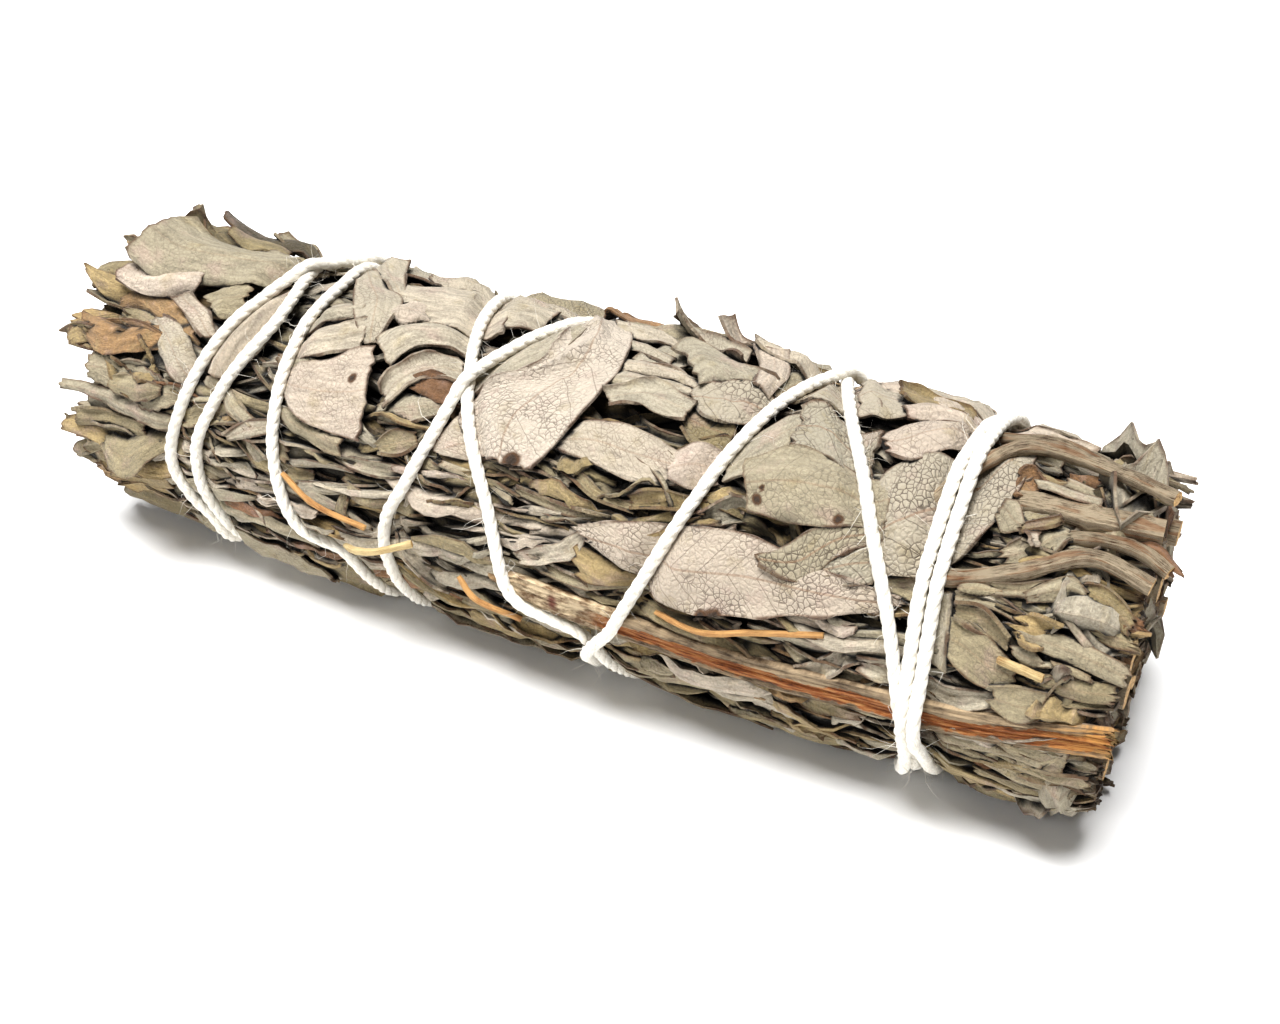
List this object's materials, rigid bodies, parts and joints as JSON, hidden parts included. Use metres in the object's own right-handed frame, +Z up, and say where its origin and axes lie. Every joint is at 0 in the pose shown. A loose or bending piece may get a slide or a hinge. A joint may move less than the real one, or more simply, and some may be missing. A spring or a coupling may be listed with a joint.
{
  "type": "sage bunch",
  "caption": "Bunch of dried white sage leaves and stems, cut square at the stem end and tied round with one crossing length of cotton twine; it lies on its side.",
  "frame": {"origin": "on the surface that the bunch lies on, under the middle of its box", "axes": "+X along the bunch towards its cut stems, +Y towards its back, +Z up"},
  "size_m": [0.1269, 0.0426, 0.0398],
  "materials": {
    "leaves": "dried sage leaf, matt and velvety, grey-green to pinkish beige with a fine net of veins",
    "twine": "soft white cotton twine, plied, a little fuzzy",
    "bark": "thin grey-tan bark, pale wood at the cut ends",
    "split_wood": "split orange-brown wood with a grey bark edge",
    "straw": "dry yellow to orange straw"
  },
  "bodies": {
    "root": {"leaf_bunch": "leaves", "twine": "twine", "stem_split": "split_wood", "stem_thick": "bark", "stem_arched": "bark", "stem_tan": "bark", "stem_top": "bark", "stem_hooked": "bark", "stem_inner_a": "bark", "stem_inner_b": "bark", "stem_inner_c": "bark", "stem_inner_d": "bark", "stem_inner_e": "bark", "stem_inner_f": "bark", "stem_inner_g": "bark", "stem_inner_h": "bark", "twig_orange": "straw", "twig_straw": "straw", "twig_long": "straw", "twig_bent": "straw", "twig_short": "straw"}
  },
  "joints": []
}
